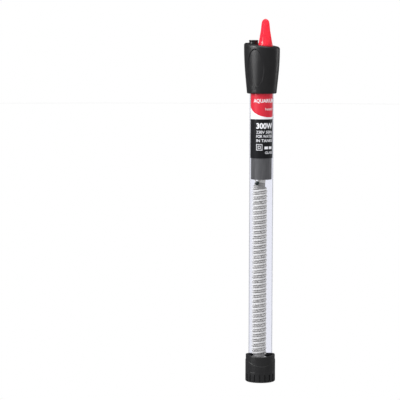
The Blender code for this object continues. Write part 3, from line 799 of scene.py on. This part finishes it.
def spindle_way(knob_x, pocket_r):
    """The pocket for the knob, the spindle's hole and the O-ring's seat, from above to below."""
    under = CHAMBER_TOP - OVERCUT / 2
    over = HEAD_TOP + 2 * OVERCUT
    profile = [
        (0.0, under, 0.0, 0.0),
        (O_RING_SEAT_R, under, 0.0, 0.0),
        (O_RING_SEAT_R, CHAMBER_TOP + O_RING_SEAT, 0.0, 0.0),
        (SPINDLE_HOLE_R, CHAMBER_TOP + O_RING_SEAT, 0.0, 0.0),
        (SPINDLE_HOLE_R, KNOB_SEAT, 0.0, 0.0),
        (pocket_r, KNOB_SEAT, 0.4 * MM, 0.0),
        (pocket_r, over, 0.0, 0.0),
        (0.0, over, 0.0, 0.0),
    ]
    return turned("spindle_way", profile, (knob_x, 0.0), 96)


def gland_way(gland_x, radius):
    heights = (CHAMBER_TOP - 2 * MM, HEAD_TOP + 8 * MM)
    rings = [oval(radius, radius, z, count=72, centre=(gland_x, 0.0)) for z in heights]
    return skin("gland_way", rings)


def make_head():
    knob_x = (KNOB_LOW.x + KNOB_HIGH.x) / 2
    pocket_r = (KNOB_HIGH.x - KNOB_LOW.x) / 2 + KNOB_GAP
    gland_x = (GLAND_LOW.x + GLAND_HIGH.x) / 2
    gland_r = (GLAND_HIGH.x - GLAND_LOW.x) / 2 + GLAND_GAP
    head = link("head_shell", skin("head_shell", head_rings()), head_plastic())
    cut(head, head_socket())
    floor_and_roof = (BORE_TOP - MM, CHAMBER_TOP)
    chamber = [oval(CHAMBER_HALF_X, CHAMBER_HALF_Y, z, count=96) for z in floor_and_roof]
    cut(head, skin("chamber", chamber))
    cut(head, spindle_way(knob_x, pocket_r))
    cut(head, gland_way(gland_x, gland_r))
    cut(head, tilted_rim(knob_x, pocket_r, HOLE_CHAMFER))
    cut(head, tilted_rim(gland_x, gland_r, HOLE_CHAMFER))
    for side in (-1, 1):
        cut(head, recess_cutter(side))
    resharpen(head, 32.0)
    add_piece(head, "housing", "head_cap")


def make_gland():
    """A bush with a rolled lip and a shallow groove, open right through."""
    radius = (GLAND_HIGH.x - GLAND_LOW.x) / 2
    bore = GLAND_BORE_R
    top = GLAND_HIGH.z
    low = GLAND_LOW.z
    groove = top - GLAND_GROOVE
    profile = [
        (bore, low, 0.2 * MM, 0.0),
        (radius, low, 0.2 * MM, 0.0),
        (radius, groove - 0.35 * MM, 0.12 * MM, 0.0),
        (radius - 0.3 * MM, groove - 0.2 * MM, 0.1 * MM, 0.0),
        (radius - 0.3 * MM, groove + 0.2 * MM, 0.1 * MM, 0.0),
        (radius, groove + 0.35 * MM, 0.12 * MM, 0.0),
        (radius, top, 0.6 * MM, 0.0),
        (bore, top, 0.45 * MM, 0.0),
    ]
    centre = ((GLAND_LOW.x + GLAND_HIGH.x) / 2, 0.0)
    gland = link("gland_bush", turned("gland_bush", profile, centre, 96), gland_rubber())
    add_piece(gland, "housing", "cord_gland")


# ---------------------------------------------------------------- knob

def blend_rows(rows, height):
    """Read a table of rows at a height, by a smooth curve through the rows next to it."""
    last = len(rows) - 1
    index = max(i for i in range(last) if rows[i][0] <= height)
    before = rows[max(index - 1, 0)]
    start = rows[index]
    end = rows[index + 1]
    after = rows[min(index + 2, last)]
    t = (height - start[0]) / (end[0] - start[0])
    made = []
    for a, b, c, d in zip(before[1:], start[1:], end[1:], after[1:]):
        linear = c - a
        square = 2 * a - 5 * b + 4 * c - d
        cube = 3 * b - a - 3 * c + d
        made.append((2 * b + linear * t + square * t ** 2 + cube * t ** 3) / 2)
    return made


def make_knob():
    """A round skirt that rises into a pointed grip with a ridge down each broad side."""
    seat = KNOB_LOW.z
    radius = (KNOB_HIGH.x - KNOB_LOW.x) / 2
    centre = ((KNOB_LOW.x + KNOB_HIGH.x) / 2, 0.0)
    mm = 1 / MM
    tip = (KNOB_HIGH.z - seat) * mm
    r = radius * mm
    skirt = 2.4
    # Height over the seat, half the length, half the width, and the power of the superellipse
    rows = [
        (skirt, r, r, 2.0),
        (4.2, 6.4, 5.9, 1.8),
        (7.2, 6.2, 5.0, 1.42),
        (11.6, 5.5, 4.1, 1.28),
        (15.2, 4.8, 3.4, 1.22),
        (21.2, 4.1, 2.5, 1.22),
        (tip - 2.0, 3.4, 2.0, 1.3),
        (tip - 0.6, 2.0, 1.3, 1.6),
        (tip, 0.5, 0.4, 2.0),
    ]
    count = 160
    edge = 0.5
    rings = []
    for i in range(5):
        turn = (math.pi / 2) * i / 4
        half = (r - edge * (1 - math.sin(turn))) * MM
        height = seat + edge * (1 - math.cos(turn)) * MM
        rings.append(oval(half, half, height, count=count, centre=centre))
    steps = 70
    for i in range(steps + 1):
        rise = skirt + (tip - skirt) * min(i / steps, 0.99999)
        half_x, half_y, power = blend_rows(rows, rise)
        rings.append(oval(half_x * MM, half_y * MM, seat + rise * MM, 0.0, count, power, centre))
    knob = link("knob_grip", skin("knob_grip", rings, sharp_angle=60.0), knob_plastic())
    ends = (seat - MM, KNOB_WELL_TOP)
    well = [oval(KNOB_BORE_R, KNOB_BORE_R, z, count=48, centre=centre) for z in ends]
    cut(knob, skin("well", well))
    resharpen(knob, 50.0)
    add_piece(knob, "knob", "adjusting_knob")


# ---------------------------------------------------------------- glass, label and carrier

def make_glass():
    """A tube with a round closed end."""
    outer = GLASS_HIGH.x
    inner = outer - GLASS_WALL
    top = GLASS_HIGH.z
    outer_drop = GLASS_SHOULDER - GLASS_LOW.z
    inner_drop = outer_drop - GLASS_WALL
    steps = 14
    outside = []
    inside = []
    for i in range(steps + 1):
        angle = (math.pi / 2) * i / steps
        c = math.sin(angle)
        s = math.cos(angle)
        outside.append((outer * c, GLASS_SHOULDER - outer_drop * s, 0.0, 0.0))
        inside.append((inner * c, GLASS_SHOULDER - inner_drop * s, 0.0, 0.0))
    rim = [(outer, top, 0.3 * MM, 0.0), (inner, top, 0.3 * MM, 0.0)]
    profile = outside + rim + list(reversed(inside))
    mesh = turned("glass_envelope", profile, count=160, sharp_angle=80.0)
    glass = link("glass_envelope", mesh, clear_glass())
    glass.visible_shadow = False
    glass.visible_diffuse = False
    glass.visible_glossy = False
    add_piece(glass, "housing", "glass_tube")


def sleeve(name, low, high, inner, edge, material):
    """A plain sleeve about the tube's axis, between two corners of its CAD box."""
    profile = [
        (inner, low.z, edge, 0.0),
        (high.x, low.z, edge, 0.0),
        (high.x, high.z, edge, 0.0),
        (inner, high.z, edge, 0.0),
    ]
    return link(name, turned(name, profile, count=160), material)


def make_label():
    inner = LABEL_HIGH.x - FILM_THICK
    film = sleeve("label_film", LABEL_LOW, LABEL_HIGH, inner, 0.03 * MM, printed_film())
    add_piece(film, "housing", "label_sleeve")


def on_label(across, height, lift):
    """A point on the label, at a distance to the right of the middle of the print."""
    radius = LABEL_HIGH.x
    angle = math.radians(VIEW_AZIMUTH + PRINT_TURN) + across / radius
    return (radius + lift) * math.sin(angle), -(radius + lift) * math.cos(angle), height


def wrap_print(name, flat, material):
    """Bend a flat print, drawn in X and Y about the middle of the panel, round the label."""
    builder = bmesh.new()
    builder.from_mesh(flat)
    step = 0.4 * MM
    reach = max(abs(vertex.co.x) for vertex in builder.verts)
    for i in range(-int(reach / step), int(reach / step) + 1):
        geometry = builder.verts[:] + builder.edges[:] + builder.faces[:]
        bmesh.ops.bisect_plane(builder, geom=geometry, plane_co=(i * step, 0, 0), plane_no=(1, 0, 0))
    for vertex in builder.verts:
        vertex.co = on_label(vertex.co.x, vertex.co.y, PRINT_LIFT + vertex.co.z)
    piece = link(name, finish_mesh(builder, name, 60.0), material)
    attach(piece, "housing")
    return piece


def flat_text(words, width, tall, bold):
    """Plain sans-serif words as a flat mesh, width across and tall in their capitals."""
    letters = bpy.data.curves.new("writer", "FONT")
    letters.body = words
    letters.size = 1.0
    letters.offset = bold
    letters.extrude = 0.01
    writer = link("writer", letters)
    graph = bpy.context.evaluated_depsgraph_get()
    flat = bpy.data.meshes.new_from_object(writer.evaluated_get(graph))
    bpy.data.objects.remove(writer)
    xs = [vertex.co.x for vertex in flat.vertices]
    ys = [vertex.co.y for vertex in flat.vertices]
    for vertex in flat.vertices:
        x, y, z = vertex.co
        across = (x - min(xs)) / (max(xs) - min(xs)) * width
        up = (y - min(ys)) / (max(ys) - min(ys)) * tall
        vertex.co = (across, up, 0.01 * MM * (1 if z > 0 else 0))
    return flat


def print_words(name, words, left, low, width, tall, bold, ink):
    """Words on the label, from a place left of the print's middle. Sizes in millimetres."""
    flat = flat_text(words, width * MM, tall * MM, bold)
    flat.transform(Matrix.Translation((left * MM, low * MM, 0.0)))
    wrap_print(name, flat, ink)


def make_prints(ink):
    """Generic white words on the label: what it is, its power and its supply."""
    panel = PANEL_TOP / MM
    print_words("label_title", "AQUARIUM", -10.6, 253.9, 21.5, 4.0, 0.02, ink)
    print_words("label_subtitle", "heater", 0.6, 247.6, 9.5, 2.4, 0.0, ink)
    # Name, words, fall from the panel's top to the foot of the words, height and boldness
    column = [
        ("label_rating", "300W", 8.6, 5.2, 0.035),
        ("label_supply", "230V 50Hz", 12.9, 2.6, 0.012),
        ("label_use", "FOR WATER", 16.7, 2.6, 0.012),
        ("label_place", "IN TANKS", 20.6, 2.6, 0.012),
    ]
    for name, words, fall, tall, bold in column:
        print_words(name, words, COLUMN_LEFT, panel - fall, COLUMN_WIDTH, tall, bold, ink)
    print_words("label_foot", "GLASS", 0.6, panel - 31.2, 9.0, 2.2, 0.01, ink)


def add_bar(builder, left, right, low, high):
    """A flat bar, a hair thick."""
    thick = 0.02 * MM
    middle = Matrix.Translation(((left + right) / 2, (low + high) / 2, thick / 2))
    size = Matrix.Diagonal((right - left, high - low, thick, 1.0))
    bmesh.ops.create_cube(builder, size=1.0, matrix=middle @ size)


def make_class_mark(ink):
    """The plain sign for double insulation, a square in a square, and two plain bars."""
    builder = bmesh.new()
    top = PANEL_TOP - 22.4 * MM
    left = COLUMN_LEFT * MM
    line = 0.45 * MM
    squares = ((0.0, 5.6 * MM), (1.5 * MM, 2.6 * MM))
    for inset, side in squares:
        x = left + inset
        y = top - inset
        add_bar(builder, x, x + side, y - line, y)
        add_bar(builder, x, x + side, y - side, y - side + line)
        add_bar(builder, x, x + line, y - side + line, y - line)
        add_bar(builder, x + side - line, x + side, y - side + line, y - line)
    for start, end in ((0.0, 3.6), (4.6, 8.4)):
        add_bar(builder, start * MM, end * MM, top - 4.6 * MM, top - 2.2 * MM)
    flat = bpy.data.meshes.new("mark")
    builder.to_mesh(flat)
    builder.free()
    wrap_print("label_mark", flat, ink)


def make_carrier():
    inner = CARRIER_HIGH.x - CARRIER_WALL
    tube = sleeve("carrier_tube", CARRIER_LOW, CARRIER_HIGH, inner, 0.2 * MM, carrier_plastic())
    add_piece(tube, "housing", "thermostat_carrier")


# ---------------------------------------------------------------- heating element

def rib_height(phase):
    """How far the rib stands at a place across the pitch: 0 in the groove, 1 on the rib."""
    off_middle = abs(phase - 0.5)
    half = RIB_WIDTH / 2
    return 1.0 - smoothstep(half - RIB_FADE_IN, half + RIB_FADE_OUT, off_middle)


def make_former():
    """A ceramic core with a helical rib between the turns of the coil."""
    around = 72
    low = CORE_LOW.z
    high = CORE_HIGH.z
    steps = int((high - low) / (0.3 * MM))
    rings = []
    for i in range(steps + 1):
        z = low + (high - low) * i / steps
        start = smoothstep(low, low + 2.5 * MM, z)
        end = 1 - smoothstep(high - 3.5 * MM, high - 1.5 * MM, z)
        ring = []
        for k in range(around):
            angle = FULL_TURN * k / around
            phase = ((z - COIL_START) / COIL_PITCH - k / around) % 1.0
            radius = CORE_R + (RIB_R - CORE_R) * rib_height(phase) * min(start, end)
            ring.append((CORE_X + radius * math.cos(angle), CORE_Y + radius * math.sin(angle), z))
        rings.append(ring)
    for z in (high, low):
        rings.append(oval(FORMER_BORE_R, FORMER_BORE_R, z, count=around, centre=(CORE_X, CORE_Y)))
    former = link("ribbed_former", skin("ribbed_former", rings, True, 50.0), ceramic_with_painted_groove_shade())
    add_piece(former, "housing", "ceramic_former")


def coil_path():
    """A fine spiral wound along a helix, with a tail that rises to the terminal bead."""
    turns = COIL_TURNS - COIL_SHORT
    points_per_spiral = 8
    count = int(turns * WOUND_PER_TURN * points_per_spiral)
    points = []
    for i in range(count + 1):
        turn = turns * i / count
        angle = FULL_TURN * turn
        twist = FULL_TURN * i / points_per_spiral
        radius = COIL_R + WOUND_R * math.cos(twist)
        height = COIL_START + COIL_PITCH * turn + WOUND_R * math.sin(twist)
        points.append((CORE_X + radius * math.cos(angle), CORE_Y + radius * math.sin(angle), height))
    bead = (BEAD_LOW + BEAD_HIGH) / 2
    last = Vector(points[-1])
    for share in (0.25, 0.5, 0.75, 0.95):
        points.append(tuple(last.lerp(bead, share)))
    return points


def make_coil():
    curve = bpy.data.curves.new("wound_coil", "CURVE")
    curve.dimensions = "3D"
    curve.bevel_depth = WIRE_R
    curve.bevel_resolution = 0
    curve.use_fill_caps = True
    points = coil_path()
    spline = curve.splines.new("POLY")
    spline.points.add(len(points) - 1)
    for slot, point in zip(spline.points, points):
        slot.co = (*point, 1.0)
    coil = link("wound_coil", curve)
    curve.materials.append(resistance_wire())
    add_piece(coil, "housing", "heating_coil")


def make_collar():
    outer = (COLLAR_HIGH.x - COLLAR_LOW.x) / 2
    centre = ((COLLAR_LOW.x + COLLAR_HIGH.x) / 2, (COLLAR_LOW.y + COLLAR_HIGH.y) / 2)
    profile = [
        (FORMER_BORE_R, COLLAR_LOW.z, 0.2 * MM, 0.0),
        (outer, COLLAR_LOW.z, 0.4 * MM, 0.0),
        (outer, COLLAR_HIGH.z, 0.4 * MM, 0.0),
        (FORMER_BORE_R, COLLAR_HIGH.z, 0.2 * MM, 0.0),
    ]
    material = fired_ceramic("collar_ceramic", (0.80, 0.80, 0.79), (0.70, 0.70, 0.69))
    collar = link("end_collar", turned("end_collar", profile, centre, 96), material)
    add_piece(collar, "housing", "former_end_collar")


def make_bead():
    """A plain round bead."""
    radius = (BEAD_HIGH.x - BEAD_LOW.x) / 2
    middle = (BEAD_LOW + BEAD_HIGH) / 2
    steps = 16
    profile = []
    for i in range(steps + 1):
        angle = math.pi * i / steps
        profile.append((radius * math.sin(angle), middle.z - radius * math.cos(angle), 0.0, 0.0))
    mesh = turned("glazed_bead", profile, (middle.x, middle.y), 48, 70.0)
    bead = link("glazed_bead", mesh, dark_glaze())
    add_piece(bead, "housing", "terminal_bead")


# ---------------------------------------------------------------- base cap

def slot_cutter(index):
    """Two rings of an upright slot with a round top, open at the bottom."""
    half = SLOT_WIDTH / 2
    past = 2 * MM
    outline = [(-half, -past), (half, -past)]
    for i in range(9):
        angle = math.pi * i / 8
        outline.append((half * math.cos(angle), SLOT_HIGH + half * math.sin(angle)))
    angle = FULL_TURN * index / SLOT_COUNT + math.radians(SLOT_BEARING)
    turn = Matrix.Rotation(angle, 3, "Z")
    rings = []
    for depth in (BASE_HIGH.x - SLOT_DEPTH, BASE_HIGH.x + past):
        rings.append([turn @ Vector((depth, x, z)) for x, z in outline])
    return rings


def cut_slots(base):
    builder = bmesh.new()
    for index in range(SLOT_COUNT):
        loops = [[builder.verts.new(point) for point in ring] for ring in slot_cutter(index)]
        size = len(loops[0])
        for i in range(size):
            j = (i + 1) % size
            builder.faces.new((loops[0][i], loops[0][j], loops[1][j], loops[1][i]))
        builder.faces.new(list(reversed(loops[0])))
        builder.faces.new(loops[1])
    bmesh.ops.recalc_face_normals(builder, faces=builder.faces)
    cut(base, finish_mesh(builder, "slots"))


def ledge_lift(x, y):
    """How far the ledge stands from its middle height: it dips on two opposite sides."""
    bearing_here = math.atan2(x, -y) - math.radians(LEDGE_DIP_BEARING)
    return -LEDGE_WAVE * math.cos(2 * bearing_here)


def make_base():
    """A cup with a wavy ledge round it, a thin parting line and slots round its foot."""
    r = BASE_HIGH.x
    collar = r - BASE_STEP
    pocket = GLASS_HIGH.x + SOCKET_GAP
    rim_share = RIM_WAVE / LEDGE_WAVE
    floor = GLASS_LOW.z - 0.3 * MM
    soft_edge = 0.35 * MM
    line = PARTING_LINE
    groove = 0.3 * MM
    profile = [
        (0.0, 0.0, 0.0, 0.0),
        (r - BASE_EDGE, 0.0, 0.2 * MM, 0.0),
        (r, BASE_EDGE, 0.3 * MM, 0.0),
        (r, line - groove, 0.1 * MM, 0.0),
        (r - 0.12 * MM, line, 0.1 * MM, 0.0),
        (r, line + groove, 0.1 * MM, 0.0),
        (r, LEDGE - 0.3 * MM, 0.3 * MM, 1.0),
        (collar, LEDGE, 0.12 * MM, 1.0),
        (collar, RIM - soft_edge, 0.3 * MM, rim_share),
        (collar - soft_edge, RIM, 0.3 * MM, rim_share),
        (pocket, RIM, 0.25 * MM, rim_share),
        (pocket, floor, 0.5 * MM, 0.0),
        (0.0, floor, 0.0, 0.0),
    ]
    mesh = turned("base_cup", profile, count=144, lift=ledge_lift)
    base = link("base_cup", mesh, base_plastic())
    cut_slots(base)
    resharpen(base, 34.0)
    add_piece(base, "housing", "base_cap")


# ---------------------------------------------------------------- inner parts kept from the CAD model

def dress_inner_parts():
    """Give each CAD node that stays its own finish."""
    finishes = [
        (plated_steel(), ["knob_spindle", "bimetal_strip"]),
        (soft_rubber(), ["spindle_o_ring", "head_seal_ring", "tube_stopper"]),
        (plug_ceramic(), ["carrier_end_plug"]),
        (brass(), ["adjusting_screw", "bimetal_bracket"]),
        (phenolic_board(), ["adjuster_pusher", "thermostat_frame"]),
        (fired_ceramic("shield_ceramic"), ["heat_shield_disc"]),
        (contact_silver(), ["moving_contact", "fixed_contact"]),
        (magnet_grey(), ["snap_magnet"]),
        (neon_glass(), ["pilot_lamp"]),
        (blue_lacquer(), ["lamp_resistor", "suppression_capacitor"]),
        (glass_fibre_sleeving(), ["live_lead", "return_lead", "switched_lead"]),
        (mineral_wool(), ["bottom_cushion"]),
    ]
    for material, names in finishes:
        for name in names:
            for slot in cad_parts[name].material_slots:
                slot.material = material


# ---------------------------------------------------------------- the scene


make_camera()
make_stage()
make_lights()
make_head()
make_gland()
make_knob()
make_glass()
make_label()
INK = white_ink()
make_prints(INK)
make_class_mark(INK)
make_carrier()
make_former()
make_coil()
make_collar()
make_bead()
make_base()
dress_inner_parts()
